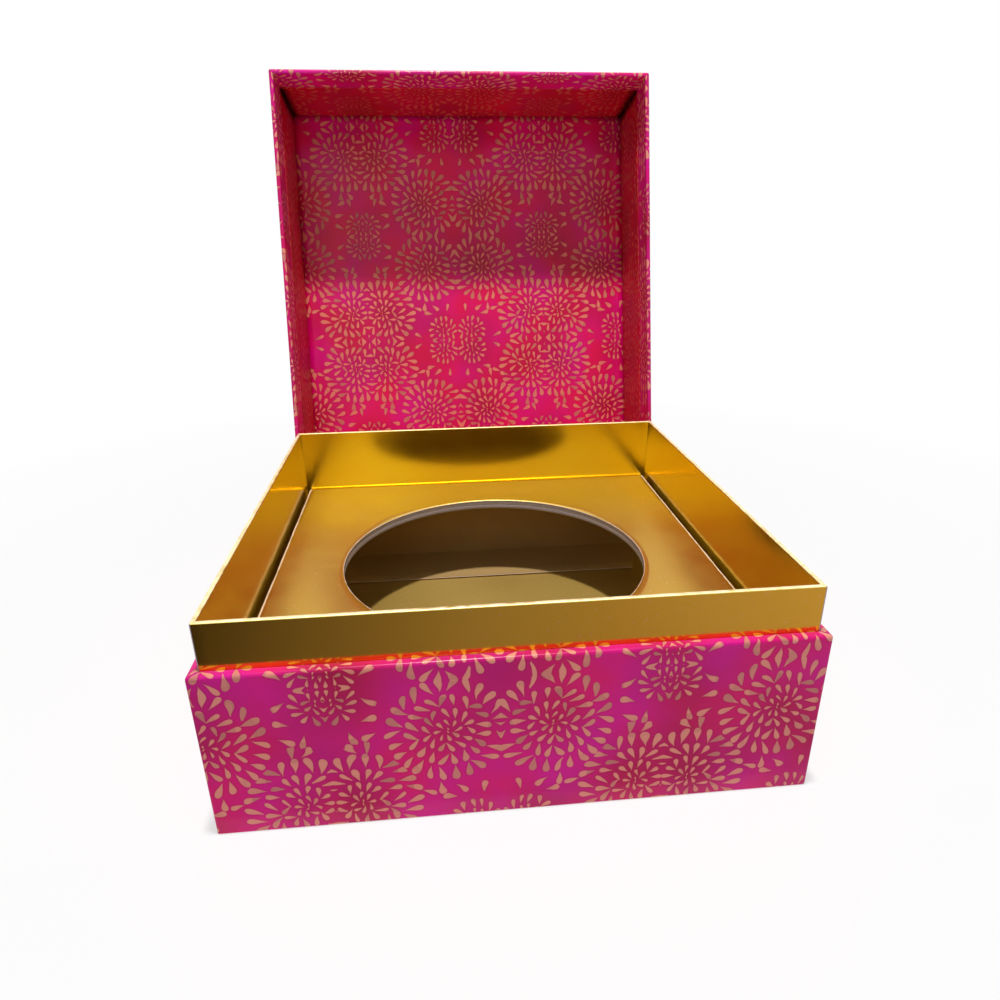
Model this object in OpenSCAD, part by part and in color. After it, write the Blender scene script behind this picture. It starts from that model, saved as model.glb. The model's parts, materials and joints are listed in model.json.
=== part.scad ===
// Rigid gift box for sweets: a papered board tray with a raised gold neck,
// a folded gold platform with one round cut-out, and a deep lid on a paper hinge.
// X is the width, Y runs from the front to the hinged back, Z is up.
// The origin is the middle of the underside. The lid is drawn open.

/* [Box] */
// Outer width of the base and of the lid
box_w = 203; // [170:1:300]
// Outer depth of the base and of the lid, front to back
box_d = 203; // [170:1:300]
// Height of the base, from the table to its papered rim
base_h = 62; // [60:1:90]
// Height of the lid, from its rim to its top face
lid_h = 57; // [30:1:58]
// Angle between the closed lid and the open lid as drawn
lid_open = 105; // [0:1:175]
// Gap between the two rims when the lid is closed
rim_gap = 0.3; // [0.2:0.1:1]
// Radius of the papered outer edges
edge_r = 1.2; // [0.8:0.1:2]

/* [Board and paper] */
// Thickness of the greyboard of the base
base_board_t = 3; // [2.5:0.1:4]
// Thickness of the greyboard of the lid
lid_board_t = 2; // [1.2:0.1:2.2]
// Thickness of the printed paper
paper_t = 0.2; // [0.15:0.05:0.3]
// Depth of the printed paper that is turned in over the rim of the base
base_turn_in = 15; // [10:1:30]
// Depth of the printed paper that is turned in over the rim of the lid
lid_turn_in = 18; // [10:1:28]
// Width of the printed paper that is turned under the base
turn_under = 15; // [8:1:25]
// Inset of the bottom sheet from the outer faces of the base
bottom_inset = 2.5; // [1:0.5:6]
// Thickness of the stay tape over the corners of the boards
stay_t = 0.15; // [0.1:0.05:0.3]
// Reach of the stay tape on each side of a corner
stay_reach = 22; // [12:1:35]
// Distance from the stay tape's ends to the ends of a board corner
stay_inset = 3; // [2:0.5:8]
// Width of the mitred seam where two walls of a board tray meet
seam_w = 0.2; // [0.1:0.05:0.4]

/* [Neck] */
// Height of the neck above the rim of the base
neck_rise = 16.5; // [8:0.5:18]
// Thickness of the neck's board
neck_board_t = 1.5; // [1:0.1:2]
// Thickness of the gold foil paper on the neck
foil_t = 0.1; // [0.05:0.05:0.2]
// Depth of the foil's outer leaf below the rim of the base
foil_turn_down = 14; // [6:1:30]
// Least clearance between the neck and the lid's front wall as the lid swings
swing_clear = 0.3; // [0.2:0.05:0.8]
// Radius of the folded foil along the neck's top edges
neck_edge_r = 0.4; // [0.2:0.05:0.6]
// Board that is left uncut behind the V-grooves at the neck's corners
neck_web_t = 0.3; // [0.2:0.05:0.6]

/* [Insert] */
// Height of the platform's gold face above the table
platform_z = 47; // [30:1:58]
// Diameter of the round cut-out
cutout_d = 132; // [60:1:140]
// Thickness of the gold card
card_t = 0.4; // [0.3:0.05:0.8]
// Thickness of each backing board under the platform
backing_t = 2; // [1:0.1:2.5]
// Radius of the gold card's upper folds, outside
fold_r = 2; // [1:0.1:4]
// Radius of the gold card's lower folds, outside
foot_fold_r = 1; // [0.8:0.1:2]
// Depth of the flanges folded inward along the floor
flange_d = 34; // [10:1:45]
// Length of the taper at the flange's ends
flange_taper = 12; // [4:1:20]
// Clearance between the insert's legs and the neck
leg_clear = 0.5; // [0.2:0.1:2]
// Slot between the insert's raw side edges and the neck
side_slot = 1.9; // [1:0.1:4]
// Distance from the legs to the backing boards' front and rear edges
backing_setback = 9; // [2:0.5:14]
// Width of the relief notch at each end of an upper fold
notch_w = 1.2; // [0.5:0.1:3]
// Thickness of the gold sheet on the floor
liner_t = 0.2; // [0.1:0.05:0.4]
// Clearance round the floor sheet
liner_clear = 0.3; // [0.2:0.1:1]

/* [Hinge] */
// Thickness of the paper hinge strip
strip_t = 0.2; // [0.15:0.05:0.4]
// Height of each leaf of the hinge strip
leaf_h = 20; // [10:1:28]
// Distance from the strip's ends to the sides of the box
strip_inset = 6; // [2:0.5:20]
// Length of the cut corners of each leaf
leaf_taper = 5; // [2:0.5:8]
// Radius of the crease that the two leaves turn about
crease_r = 0.2; // [0.15:0.05:0.3]
// Clearance between the crease and the lid's leaf
crease_clear = 0.1; // [0.05:0.05:0.3]

/* [Hidden] */
$fn = 64;
eps = 0.01;

// Levels of the base
base_wrap_z = paper_t;
base_board_z = 2 * paper_t;
base_floor_z = base_board_z + base_board_t;
base_board_top = base_h - paper_t;
base_wall_t = base_board_t + 2 * paper_t;

// The hinge's axis lies on the outer face of the strip, midway between the rims
hinge_y = box_d / 2 + strip_t;
hinge_z = base_h + rim_gap / 2;

// The lid in its closed place
lid_z = base_h + rim_gap;
lid_board_z = lid_z + paper_t;
lid_wall_t = lid_board_t + 2 * paper_t;
lid_panel_z = lid_z + lid_h - lid_wall_t;

// The lid's front wall moves back by this much before it is clear of the neck
lid_swing_l = box_d - lid_wall_t;
swing_shift = lid_swing_l - sqrt(pow(lid_swing_l, 2) - pow(neck_rise, 2));

// The neck stands against the papered wall of the base, or further in where the lid needs it
neck_setback = max(base_wall_t, lid_wall_t + swing_shift + swing_clear);
neck_w = box_w - 2 * neck_setback;
neck_d = box_d - 2 * neck_setback;
neck_top = base_h + neck_rise;
neck_wall_t = neck_board_t + 2 * foil_t;
well_w = neck_w - 2 * neck_wall_t;
well_d = neck_d - 2 * neck_wall_t;

// The insert
insert_w = well_w - 2 * side_slot;
insert_d = well_d - 2 * leg_clear;
insert_z = base_floor_z + liner_t;
insert_h = platform_z - insert_z;
backing_d = insert_d - 2 * card_t - 2 * backing_setback;

// A rectangle with round corners
module round_rect(w, d, r) {
    square([w - 2 * r, d], center = true);
    square([w, d - 2 * r], center = true);
    for (sx = [-1, 1], sy = [-1, 1])
        translate([sx * (w / 2 - r), sy * (d / 2 - r)]) circle(r);
}

// A block standing on z = 0 with round upright edges and a round top, and a round foot if asked
module soft_block(w, d, h, r, round_foot = false) {
    levels = round_foot ? [r, h - r] : [h - r];
    foot = round_foot ? r : 0;
    translate([0, 0, h / 2]) cube([w - 2 * r, d - 2 * r, h], center = true);
    translate([0, 0, foot]) linear_extrude(h - r - foot) round_rect(w, d, r);
    for (z = levels) translate([0, 0, z]) {
        for (sx = [-1, 1])
            translate([sx * (w / 2 - r), 0, 0]) rotate([90, 0, 0])
                cylinder(r = r, h = d - 2 * r, center = true);
        for (sy = [-1, 1])
            translate([0, sy * (d / 2 - r), 0]) rotate([0, 90, 0])
                cylinder(r = r, h = w - 2 * r, center = true);
        for (sx = [-1, 1], sy = [-1, 1])
            translate([sx * (w / 2 - r), sy * (d / 2 - r), 0]) sphere(r);
    }
}

// A square-cornered frame: outer size w by d, wall t, from z0 to z1
module frame_wall(w, d, t, z0, z1) {
    translate([0, 0, z0]) linear_extrude(z1 - z0) difference() {
        square([w, d], center = true);
        square([w - 2 * t, d - 2 * t], center = true);
    }
}

// Upright seams through the corners of a wall of outer size w by d, from z0 to z1.
// Each runs along the mitre, from inner to outer distances t_in and t_out from the outer faces.
module mitre_seams(w, d, t_in, t_out, z0, z1) {
    for (sx = [-1, 1], sy = [-1, 1])
        translate([sx * w / 2, sy * d / 2, z0])
            linear_extrude(z1 - z0)
                polygon([
                    [-sx * t_in, -sy * (t_in - seam_w)], [-sx * (t_in - seam_w), -sy * t_in],
                    [-sx * (t_out - seam_w), -sy * t_out], [-sx * t_out, -sy * (t_out - seam_w)]
                ]);
}

// Four L-shaped tapes on the outside of a board tray's corners, from z0 to z1
module corner_tapes(w, d, r, z0, z1) {
    translate([0, 0, z0]) linear_extrude(z1 - z0) intersection() {
        difference() {
            round_rect(w, d, r);
            round_rect(w - 2 * stay_t, d - 2 * stay_t, r - stay_t);
        }
        for (sx = [-1, 1], sy = [-1, 1])
            translate([sx * (w - stay_reach) / 2, sy * (d - stay_reach) / 2])
                square([stay_reach + eps, stay_reach + eps], center = true);
    }
}

// Turns the closed lid about the hinge to its open place
module open_lid() {
    translate([0, hinge_y, hinge_z]) rotate([-lid_open, 0, 0])
        translate([0, -hinge_y, -hinge_z]) children();
}

// One leaf of the hinge strip in the plane of the back, its crease edge on z = 0
module hinge_leaf(start) {
    w = box_w - 2 * strip_inset;
    rotate([90, 0, 0]) linear_extrude(strip_t)
        polygon([
            [-w / 2, start], [w / 2, start], [w / 2, leaf_h - leaf_taper],
            [w / 2 - leaf_taper, leaf_h], [leaf_taper - w / 2, leaf_h], [-w / 2, leaf_h - leaf_taper]
        ]);
}

// Base: greyboard blank folded up into a tray, its walls mitred at the corners
module base_board_tray() {
    w = box_w - 2 * paper_t;
    d = box_d - 2 * paper_t;
    color("#b7ab98") difference() {
        translate([0, 0, base_board_z]) soft_block(w, d, base_board_top - base_board_z, edge_r - paper_t);
        translate([0, 0, base_floor_z + base_h / 2])
            cube([w - 2 * base_board_t, d - 2 * base_board_t, base_h], center = true);
        mitre_seams(w, d, base_board_t + seam_w, -seam_w, base_floor_z, base_h);
        corner_tapes(w, d, edge_r - paper_t, base_board_z + stay_inset, base_board_top - stay_inset);
    }
}

module base_corner_stays() {
    color("#d8c39a")
        corner_tapes(box_w - 2 * paper_t, box_d - 2 * paper_t, edge_r - paper_t,
            base_board_z + stay_inset, base_board_top - stay_inset);
}

// Base: printed paper outside the walls, over the rim, turned in behind the neck and turned under
module base_wrap() {
    inner_w = box_w - 2 * base_wall_t;
    inner_d = box_d - 2 * base_wall_t;
    color("#c8136e") {
        difference() {
            translate([0, 0, base_wrap_z]) soft_block(box_w, box_d, base_h - base_wrap_z, edge_r);
            translate([0, 0, base_board_z])
                soft_block(box_w - 2 * paper_t, box_d - 2 * paper_t, base_board_top - base_board_z,
                    edge_r - paper_t);
            translate([0, 0, base_h]) cube([inner_w, inner_d, 4 * paper_t], center = true);
            cube([box_w - 2 * turn_under, box_d - 2 * turn_under, 4 * paper_t], center = true);
        }
        frame_wall(inner_w + 2 * paper_t, inner_d + 2 * paper_t, paper_t,
            base_h - base_turn_in, base_h - paper_t / 2);
    }
}

// Base: plain sheet pasted over the turned-under edges and pressed up to the board between them
module base_bottom_paper() {
    color("#f2ece0") {
        linear_extrude(paper_t)
            square([box_w - 2 * bottom_inset, box_d - 2 * bottom_inset], center = true);
        translate([0, 0, paper_t / 2]) linear_extrude(base_board_z - paper_t / 2)
            square([box_w - 2 * turn_under, box_d - 2 * turn_under], center = true);
    }
}

// Base: gold sheet on the floor, inside the neck
module base_floor_liner() {
    color("#b88a2c") translate([0, 0, base_floor_z]) linear_extrude(liner_t)
        square([well_w - 2 * liner_clear, well_d - 2 * liner_clear], center = true);
}

// A 2D section profile, drawn with its outer face on x = 0 and its wall towards -X, run round
// a frame of outer size w by d with mitred corners. reach is at least the wall's thickness.
module mitred_frame(w, d, reach, h) {
    for (side = [0, 1]) {
        across = side == 0 ? w : d;
        along = side == 0 ? d : w;
        for (turn = [0, 180]) rotate([0, 0, side * 90 + turn]) intersection() {
            translate([across / 2, 0, 0]) rotate([90, 0, 0])
                linear_extrude(along, center = true) children();
            linear_extrude(h) polygon([
                [across / 2, -along / 2], [across / 2, along / 2],
                [across / 2 - reach, along / 2 - reach], [across / 2 - reach, reach - along / 2]
            ]);
        }
    }
}

// Section of a strip on edge: thickness t, height h, both top corners rounded
module strip_section(t, h, r) {
    translate([-t, 0]) square([t, h - r]);
    translate([r - t, 0]) square([t - 2 * r, h]);
    for (x = [-r, r - t]) translate([x, h - r]) circle(r);
}

// Neck: one board strip folded round at V-grooved corners, its ends butted in the middle of the back
module neck_board() {
    w = neck_w - 2 * foil_t;
    d = neck_d - 2 * foil_t;
    h = neck_top - foil_t - base_floor_z;
    color("#b7ab98") difference() {
        translate([0, 0, base_floor_z]) mitred_frame(w, d, neck_board_t, h)
            strip_section(neck_board_t, h, neck_edge_r - foil_t);
        mitre_seams(w, d, neck_board_t + seam_w, neck_web_t, base_floor_z - eps, neck_top);
        translate([0, (d - neck_board_t) / 2, neck_top / 2])
            cube([seam_w, 2 * neck_board_t, neck_top], center = true);
    }
}

// Neck: foil paper down the inside, over the top edge and down the outside past the base's rim
module neck_foil() {
    h = neck_top - base_floor_z;
    color("#c99a2e") translate([0, 0, base_floor_z])
        mitred_frame(neck_w, neck_d, neck_wall_t, h) difference() {
            strip_section(neck_wall_t, h, neck_edge_r);
            translate([-foil_t, -eps]) strip_section(neck_board_t, h - foil_t + eps, neck_edge_r - foil_t);
            translate([-foil_t, -eps]) square([2 * foil_t, base_h - foil_turn_down - base_floor_z]);
        }
}

// Section of the folded card in the YZ plane: top, two legs and two flanges on the floor
module card_section() {
    difference() {
        card_outline(insert_d, insert_h, fold_r, foot_fold_r);
        translate([0, card_t])
            card_outline(insert_d - 2 * card_t, insert_h - 2 * card_t, fold_r - card_t, foot_fold_r - card_t);
        translate([0, card_t / 2]) square([insert_d - 2 * flange_d, 2 * card_t], center = true);
    }
}

// An outline standing on y = 0 with top corners of radius r_top and bottom corners of radius r_foot
module card_outline(w, h, r_top, r_foot) {
    translate([-w / 2, r_foot]) square([w, h - r_top - r_foot]);
    translate([r_top - w / 2, r_foot]) square([w - 2 * r_top, h - r_foot]);
    translate([r_foot - w / 2, 0]) square([w - 2 * r_foot, h - r_top]);
    for (s = [-1, 1]) {
        translate([s * (w / 2 - r_top), h - r_top]) circle(r_top);
        translate([s * (w / 2 - r_foot), r_foot]) circle(r_foot);
    }
}

// Insert: gold card folded down at the front and back, with tapered flanges turned in along the floor
module insert_card() {
    color("#c9952f") difference() {
        translate([0, 0, insert_z]) rotate([90, 0, 90])
            linear_extrude(insert_w, center = true) card_section();
        cylinder(d = cutout_d, h = 2 * platform_z);
        for (sx = [-1, 1], sy = [-1, 1]) {
            // Relief notch at the end of an upper fold
            translate([sx * insert_w / 2, sy * insert_d / 2, platform_z])
                cube([2 * notch_w, 2 * fold_r, 2 * fold_r], center = true);
            // Tapered end of a flange
            translate([sx * insert_w / 2, sy * insert_d / 2, insert_z - eps]) linear_extrude(2 * card_t)
                polygon([
                    [eps * sx, -sy * foot_fold_r], [0, -sy * (flange_d + eps)],
                    [-sx * flange_taper, -sy * (flange_d + eps)]
                ]);
        }
    }
}

// Insert: one backing board under the gold card, its top at z
module backing_board(top_z) {
    color("#a79d9a") translate([0, 0, top_z - backing_t]) linear_extrude(backing_t) difference() {
        square([insert_w, backing_d], center = true);
        circle(d = cutout_d);
    }
}

module insert_board_upper() {
    backing_board(platform_z - card_t);
}

module insert_board_lower() {
    backing_board(platform_z - card_t - backing_t);
}

// Hinge: the leaf pasted to the base's back, with the crease along its upper edge
module hinge_strip_base_leaf() {
    color("#b3105f") translate([0, hinge_y, hinge_z]) {
        mirror([0, 0, 1]) hinge_leaf(0);
        rotate([0, 90, 0]) cylinder(r = crease_r, h = box_w - 2 * strip_inset, center = true);
    }
}

// Hinge: the leaf pasted to the lid's back
module hinge_strip_lid_leaf() {
    color("#b3105f") open_lid()
        translate([0, hinge_y, hinge_z]) hinge_leaf(crease_r + crease_clear);
}

// Lid: greyboard blank folded into a deep tray, its walls mitred at the corners
module lid_board_tray() {
    w = box_w - 2 * paper_t;
    d = box_d - 2 * paper_t;
    h = lid_h - 2 * paper_t;
    color("#b7ab98") open_lid() difference() {
        translate([0, 0, lid_board_z]) soft_block(w, d, h, edge_r - paper_t, round_foot = true);
        translate([0, 0, lid_board_z - eps]) linear_extrude(h - lid_board_t + eps)
            square([w - 2 * lid_board_t, d - 2 * lid_board_t], center = true);
        mitre_seams(w, d, lid_board_t + seam_w, -seam_w, lid_board_z - eps, lid_board_z + h - lid_board_t);
        corner_tapes(w, d, edge_r - paper_t, lid_board_z + stay_inset, lid_board_z + h - stay_inset);
    }
}

module lid_corner_stays() {
    color("#d8c39a") open_lid()
        corner_tapes(box_w - 2 * paper_t, box_d - 2 * paper_t, edge_r - paper_t,
            lid_board_z + stay_inset, lid_z + lid_h - paper_t - stay_inset);
}

// Lid: printed paper over the top and the walls, round the rim and turned in
module lid_wrap() {
    inner_w = box_w - 2 * lid_wall_t;
    inner_d = box_d - 2 * lid_wall_t;
    color("#c8136e") open_lid() {
        difference() {
            translate([0, 0, lid_z]) soft_block(box_w, box_d, lid_h, edge_r, round_foot = true);
            translate([0, 0, lid_board_z])
                soft_block(box_w - 2 * paper_t, box_d - 2 * paper_t, lid_h - 2 * paper_t,
                    edge_r - paper_t, round_foot = true);
            translate([0, 0, lid_z]) cube([inner_w, inner_d, 4 * paper_t], center = true);
        }
        frame_wall(inner_w + 2 * paper_t, inner_d + 2 * paper_t, paper_t,
            lid_z + paper_t / 2, lid_z + lid_turn_in);
    }
}

// Lid: printed paper band round the inside of the walls, from the turned-in edge to the panel
module lid_wall_lining() {
    color("#b00f3a") open_lid()
        frame_wall(box_w - 2 * (lid_wall_t - paper_t), box_d - 2 * (lid_wall_t - paper_t), paper_t,
            lid_z + lid_turn_in, lid_panel_z);
}

// Lid: printed paper sheet on the inside of the top panel
module lid_panel_lining() {
    color("#c8136e") open_lid() translate([0, 0, lid_panel_z]) linear_extrude(paper_t)
        square([box_w - 2 * (lid_wall_t - paper_t), box_d - 2 * (lid_wall_t - paper_t)], center = true);
}

base_board_tray();
base_corner_stays();
base_wrap();
base_bottom_paper();
base_floor_liner();
neck_board();
neck_foil();
insert_card();
insert_board_upper();
insert_board_lower();
hinge_strip_base_leaf();
hinge_strip_lid_leaf();
lid_board_tray();
lid_corner_stays();
lid_wrap();
lid_wall_lining();
lid_panel_lining();
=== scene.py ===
import json
import math

import bmesh
import bpy
from mathutils import Matrix, Vector, noise


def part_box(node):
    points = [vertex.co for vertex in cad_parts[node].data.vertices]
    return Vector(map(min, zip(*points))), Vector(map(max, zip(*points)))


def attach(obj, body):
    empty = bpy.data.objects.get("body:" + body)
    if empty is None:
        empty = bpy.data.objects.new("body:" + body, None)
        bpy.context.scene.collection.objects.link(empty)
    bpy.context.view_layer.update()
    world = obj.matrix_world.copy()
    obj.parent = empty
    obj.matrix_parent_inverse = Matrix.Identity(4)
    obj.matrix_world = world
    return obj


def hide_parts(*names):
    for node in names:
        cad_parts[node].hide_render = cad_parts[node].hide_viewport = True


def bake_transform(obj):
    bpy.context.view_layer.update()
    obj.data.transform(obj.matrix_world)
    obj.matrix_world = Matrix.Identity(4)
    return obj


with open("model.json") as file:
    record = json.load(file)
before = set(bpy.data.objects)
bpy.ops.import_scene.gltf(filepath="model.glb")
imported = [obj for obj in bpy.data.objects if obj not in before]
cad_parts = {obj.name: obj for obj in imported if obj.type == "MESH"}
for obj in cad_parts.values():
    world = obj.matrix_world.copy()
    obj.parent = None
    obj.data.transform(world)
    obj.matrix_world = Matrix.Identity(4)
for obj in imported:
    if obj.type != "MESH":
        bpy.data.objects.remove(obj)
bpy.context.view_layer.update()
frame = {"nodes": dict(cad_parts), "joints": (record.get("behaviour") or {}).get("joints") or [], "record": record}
MM = 0.001

# Sizes that the frame gives
BASE_LOW, BASE_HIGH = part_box("base_wrap")
NECK_LOW, NECK_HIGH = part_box("neck_foil")
CARD_LOW, CARD_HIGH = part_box("insert_card")
UPPER_LOW, UPPER_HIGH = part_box("insert_board_upper")
LOWER_LOW, LOWER_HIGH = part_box("insert_board_lower")
LINER_LOW, LINER_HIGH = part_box("base_floor_liner")
BOTTOM_LOW, BOTTOM_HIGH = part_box("base_bottom_paper")
STRIP_LOW, STRIP_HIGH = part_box("hinge_strip_base_leaf")
HINGE = Vector(frame["joints"][0]["pos_m"])
LID_OPEN = math.radians(-frame["joints"][0]["range_deg"][0])
HOLE_R = frame["record"]["mounts"][1]["dims"]["r_mm"] * MM
BOX_W = BASE_HIGH.x - BASE_LOW.x
BOX_D = BASE_HIGH.y - BASE_LOW.y
BOX_H = BASE_HIGH.z

# Walls and printed paper of the base and the lid. A straight run of the wraps' sections keeps at least
# ROW_GAP off a fold's arc, and inside a wall it starts RIM_ROW from the rim.
PAPER_T = 0.2 * MM
WRAP_T = PAPER_T * 0.9
WRAP_DENT = 0.06 * MM
LAP_T = 0.12 * MM
EDGE_R = 1.2 * MM
LEAST_CORNER_R = 0.08 * MM
ROW_GAP = 0.2 * MM
RIM_ROW = 1 * MM
BASE_WALL_T = 3.4 * MM
BASE_RIM_R = 0.5 * MM
UNDER_FOLD_R = 0.4 * MM
TURN_IN = 15 * MM
TURN_UNDER = 15 * MM
LID_H = 57 * MM
LID_Z = BOX_H + 0.3 * MM
LID_WALL_T = 2.4 * MM
LID_RIM_R = 0.6 * MM
LID_TURN_IN = 18 * MM
LID_PANEL_Z = LID_Z + LID_H - LID_WALL_T
LINING_LAP = 2 * MM
LINING_DENT = 0.12 * MM
LINING_CORNER_R = 0.3 * MM
LINING_PRINT_START = 30 * MM
PANEL_SAG = 0.25 * MM
PANEL_EDGE_DIP = 0.5 * MM
PANEL_EDGE_W = 2.5 * MM

# Paper strip of the hinge
LEAF_H = 20 * MM
LEAF_TAPER = 5 * MM
LEAF_ROWS = (1.5 * MM, 4 * MM, 9 * MM, LEAF_H - LEAF_TAPER, LEAF_H)
STRIP_T = 0.15 * MM
STRIP_BEND = 0.5 * MM
STRIP_BEND_STEPS = 8
STRIP_COLUMNS = 48
STRIP_PRINT_START = 150 * MM

# Neck, platform and floor
NECK_WALL_T = 1.7 * MM
NECK_TOP_R = 0.4 * MM
NECK_CORNER_R = 0.7 * MM
FOIL_T = 0.1 * MM
FOIL_DENT = 0.05 * MM
FOIL_HIDDEN_H = 14 * MM
CARD_T = 0.4 * MM
CARD_WAVE = 0.22 * MM
CARD_SINK = 0.05 * MM
CARD_WOBBLE = 0.5 * MM
FOLD_R = 2 * MM
FOLD_STEPS = 6
LEG_ROW_HEIGHTS = (25 * MM, 10 * MM)
FOOT_FOLD_R = 1 * MM
FOOT_STEPS = 3
FLANGE_D = 34 * MM
FLANGE_TAPER = 12 * MM
FLANGE_LIFT = 0.6 * MM
FLANGE_STEPS = 4
BOARD_SETBACK = 0.2 * MM
BOARD_HOLE_GAP = 0.1 * MM
BOARD_WOBBLE = 0.3 * MM
BOARD_BEVEL = 0.12 * MM
LINER_T = 0.1 * MM
BOTTOM_T = 0.15 * MM

# Fineness and tolerances of the meshes
MERGE_DIST = 0.002 * MM
SAME_PLACE = 1e-6
DENT_SCALE = 45.0
SHEET_WAVE_SCALE = 18.0
CARD_WAVE_SCALE = 11.0
SIDE_WOBBLE_SCALE = 60.0
HOLE_POINTS = 240
LID_PANEL_RINGS = 24


# Node helpers: a Val wraps a socket, so that shader sums read as plain arithmetic
class Val:
    def __init__(self, tree, socket):
        self.tree = tree
        self.socket = socket

    def math(self, operation, *others):
        node = self.tree.nodes.new("ShaderNodeMath")
        node.operation = operation
        for slot, value in zip(node.inputs, (self, *others)):
            if isinstance(value, Val):
                self.tree.links.new(value.socket, slot)
            else:
                slot.default_value = value
        return Val(self.tree, node.outputs[0])

    def __add__(self, other):
        return self.math("ADD", other)

    def __sub__(self, other):
        return self.math("SUBTRACT", other)

    def __mul__(self, other):
        return self.math("MULTIPLY", other)

    def __truediv__(self, other):
        return self.math("DIVIDE", other)

    def one_minus(self):
        return self * -1.0 + 1.0

    def clamp(self):
        return self.math("MAXIMUM", 0.0).math("MINIMUM", 1.0)

    def step(self, edge, softness):
        """0 below edge, 1 above edge + softness."""
        return ((self - edge) / softness).clamp()


def new_material(name):
    material = bpy.data.materials.new(name)
    material.use_nodes = True
    tree = material.node_tree
    return material, tree, tree.nodes["Principled BSDF"]


def coordinates(tree, kind):
    return tree.nodes.new("ShaderNodeTexCoord").outputs[kind]


def split_axes(tree, vector):
    """The X, Y and Z of a vector socket, as Vals."""
    node = tree.nodes.new("ShaderNodeSeparateXYZ")
    tree.links.new(vector, node.inputs[0])
    return [Val(tree, output) for output in node.outputs]


def join_axes(tree, *values):
    """A vector socket with the given Vals as its X, Y and Z."""
    node = tree.nodes.new("ShaderNodeCombineXYZ")
    for slot, value in zip(node.inputs, values):
        tree.links.new(value.socket, slot)
    return node.outputs[0]


def add_noise(tree, vector, scale, detail=2.0, roughness=0.5):
    node = tree.nodes.new("ShaderNodeTexNoise")
    node.inputs["Scale"].default_value = scale
    node.inputs["Detail"].default_value = detail
    node.inputs["Roughness"].default_value = roughness
    tree.links.new(vector, node.inputs["Vector"])
    return Val(tree, node.outputs["Fac"])


def mix_colours(tree, share, first, second):
    """A mix of two colours, each a tuple or a socket, by a Val."""
    node = tree.nodes.new("ShaderNodeMix")
    node.data_type = "RGBA"
    tree.links.new(share.socket, node.inputs[0])
    for slot, colour in ((node.inputs[6], first), (node.inputs[7], second)):
        if isinstance(colour, tuple):
            slot.default_value = (*colour, 1.0)
        else:
            tree.links.new(colour, slot)
    return node.outputs[2]


def set_bump(tree, shader, height, strength, distance):
    bump = tree.nodes.new("ShaderNodeBump")
    bump.inputs["Strength"].default_value = strength
    bump.inputs["Distance"].default_value = distance
    tree.links.new(height.socket, bump.inputs["Height"])
    tree.links.new(bump.outputs["Normal"], shader.inputs["Normal"])


def random_pair(tree, a, b, c):
    """Two random numbers from 0 to 1 that stay the same wherever a, b and c do."""
    white = tree.nodes.new("ShaderNodeTexWhiteNoise")
    tree.links.new(join_axes(tree, a, b, c), white.inputs["Vector"])
    parts = tree.nodes.new("ShaderNodeSeparateColor")
    tree.links.new(white.outputs["Color"], parts.inputs[0])
    return Val(tree, parts.outputs[0]), Val(tree, parts.outputs[1])


# The print, in mm. Bursts are (x, y, radius) in one half of the mirrored repeat, and every place on it
# wanders by up to half of WANDER.
HALF_REPEAT = (55.0, 63.0)
REPEAT_START = (7.0, 30.0)
BURSTS = ((17.0, 19.0, 24.0), (46.0, 46.0, 23.0), (9.0, 57.0, 14.0), (53.0, 5.0, 12.0))
BURST_HEART_R = 15.0
WANDER = (2.2, 0.8)

# Rings of a burst: they stand further apart as they grow, and each is turned against the last
RING_POWER = 0.62
RING_STEP = 1.3
RING_TURN = 0.37
DROP_SPACING = 0.66

# Loose drops between the bursts: they may lie a little over a burst's edge, but not on a mirror line
LOOSE_CELL = 5.8
LOOSE_SPREAD = 0.55
LOOSE_OVERLAP = 1.6
MIRROR_GAP = 2.3

# Shape of a drop
TAIL_POWER = 1.6
NOSE_POWER = 0.5
DROP_FULLNESS = 2.1


def teardrop(across, along, length, width, curl):
    """How far inside a drop a point lies, in mm: round at the far end, with a thin curved tail."""
    share = (along / length + 0.5).clamp()
    tail = share.one_minus()
    half = share.math("POWER", TAIL_POWER) * tail.math("POWER", NOSE_POWER) * width * DROP_FULLNESS
    bent = across - curl * tail * tail
    return half - bent.math("ABSOLUTE")


def show_where(mask, depth):
    """The depth where mask is 1, and 1 mm outside a drop where it is 0."""
    return depth * mask - mask.one_minus()


def nearest_burst(x, y):
    """The burst whose edge is nearest to a point: how far the point is past that edge, its X, Y and
    distance from the burst's centre, and a number that tells the bursts apart."""
    best = None
    for centre_x, centre_y, radius in BURSTS:
        dx = x - centre_x
        dy = y - centre_y
        dist = (dx * dx + dy * dy).math("SQRT")
        found = [dist - radius, dx, dy, dist, dist * 0.0 + centre_x]
        if best is None:
            best = found
            continue
        nearer = found[0].math("LESS_THAN", best[0])
        best = [old + (new - old) * nearer for old, new in zip(best, found)]
    return best


def ring_number(dist):
    return (dist.math("POWER", RING_POWER) / RING_STEP).math("FLOOR")


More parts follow.
